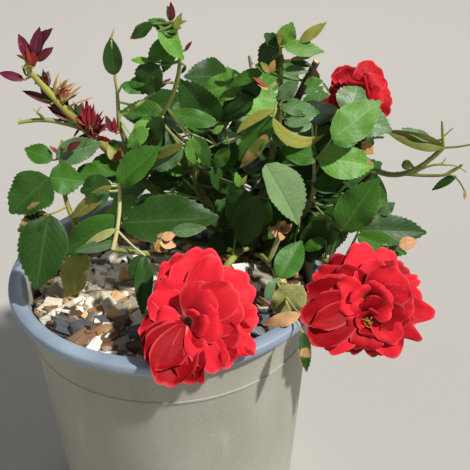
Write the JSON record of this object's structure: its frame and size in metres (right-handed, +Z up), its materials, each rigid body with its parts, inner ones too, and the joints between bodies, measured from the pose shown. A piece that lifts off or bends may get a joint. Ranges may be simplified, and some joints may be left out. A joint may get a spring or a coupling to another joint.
{
  "type": "potted rose bush",
  "caption": "Low bushy rose with open red blooms, glossy toothed leaflets and thorny green canes, growing in a round plastic pot topped with bark chips.",
  "frame": {"origin": "centre of the flat underside of the pot", "axes": "+Z up along the pot's axis; the side that the picture shows faces -Y, and the bush leans towards +X"},
  "size_m": [0.3597, 0.3041, 0.4322],
  "materials": {
    "pot": "matt grey with a finely speckled body and a smoother blue-grey rolled rim",
    "filling": "dark moist compost",
    "chips": "weathered bark and wood chips, cream, tan, brown and slate",
    "bark": "rough brown bark with fine ridges",
    "green_canes": "smooth green bark with red-brown prickles",
    "foliage": "glossy toothed leaflets, dark above and paler beneath, some with dry edges",
    "red_shoots": "satin maroon young growth",
    "spent_twigs": "dull yellow-green stalks of finished flowers",
    "petals": "soft saturated red petals with a fine sheen",
    "stamens": "dull yellow stamens"
  },
  "bodies": {
    "root": {"pot": "pot", "filling": "filling", "rootstock": "bark", "cane_left": "green_canes", "cane_left_low": "green_canes", "cane_fork": "green_canes", "cane_middle": "green_canes", "cane_inner": "green_canes", "cane_crown": "green_canes", "cane_front": "green_canes", "cane_cut": "bark", "cane_right_top": "green_canes", "cane_right": "green_canes", "cane_far_right": "green_canes", "cane_low_front": "green_canes", "cane_left_bloom": "green_canes", "cane_right_bloom": "green_canes", "cane_back_bloom": "green_canes", "cane_back_left": "green_canes", "cane_back": "green_canes", "cane_back_right": "green_canes", "bloom_left": "petals", "bloom_right": "petals", "bloom_back": "petals", "foliage_left_shoot": "red_shoots", "foliage_left": "foliage", "foliage_centre": "foliage", "foliage_fork": "foliage", "foliage_top": "foliage", "foliage_crown": "foliage", "foliage_inner": "foliage", "foliage_right_top": "foliage", "foliage_right": "foliage", "foliage_front": "foliage", "spent_twigs_right": "spent_twigs", "foliage_back_left": "foliage", "foliage_back": "foliage", "foliage_back_right": "foliage"}
  },
  "joints": []
}
